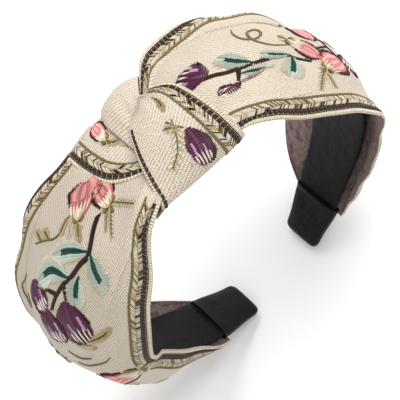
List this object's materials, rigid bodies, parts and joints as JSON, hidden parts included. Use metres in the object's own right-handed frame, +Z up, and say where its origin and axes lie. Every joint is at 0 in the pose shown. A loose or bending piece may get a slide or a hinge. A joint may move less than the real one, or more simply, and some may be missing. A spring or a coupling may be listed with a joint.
{
  "type": "knotted headband",
  "caption": "Open hoop headband: a wide patterned ribbon over a sprung satin-lined core, crossed in a raised knot at the crown, with a satin sleeve on each tip.",
  "frame": {"origin": "middle of the flat inner face at the crown, where the hoop rests on the head", "axes": "+Z up, away from the head; +X towards the right arm; -Y is the front edge; the hoop lies in the XZ plane"},
  "size_m": [0.1461, 0.0595, 0.1475],
  "materials": {
    "core_plastic": "dark moulded plastic strip, hidden by its covers",
    "black_satin": "black satin with a soft sheen",
    "jacquard_ribbon": "champagne twill jacquard with raised flowers, berries and branches and a braided border"
  },
  "bodies": {
    "crown": {"core_crown": "core_plastic", "lining_crown": "black_satin", "knot_inner_band": "jacquard_ribbon", "knot_front_wrap": "jacquard_ribbon", "knot_back_wrap": "jacquard_ribbon", "knot_lower_wrap": "jacquard_ribbon"},
    "arm_left": {"core_arm_left": "core_plastic", "lining_left": "black_satin", "wing_left": "jacquard_ribbon", "tip_sleeve_left": "black_satin"},
    "arm_right": {"core_arm_right": "core_plastic", "lining_right": "black_satin", "wing_right": "jacquard_ribbon", "tip_sleeve_right": "black_satin"}
  },
  "joints": [
    {"name": "flex_left", "type": "hinge", "parent": "crown", "child": "arm_left", "pos_m": [-0.0216, 0, 0.00052], "axis": [0, 1, 0], "range_deg": [-4, 20], "stiffness_Nm_per_rad": 1.5},
    {"name": "flex_right", "type": "hinge", "parent": "crown", "child": "arm_right", "pos_m": [0.0216, 0, 0.00052], "axis": [0, -1, 0], "range_deg": [-4, 20], "stiffness_Nm_per_rad": 1.5}
  ]
}
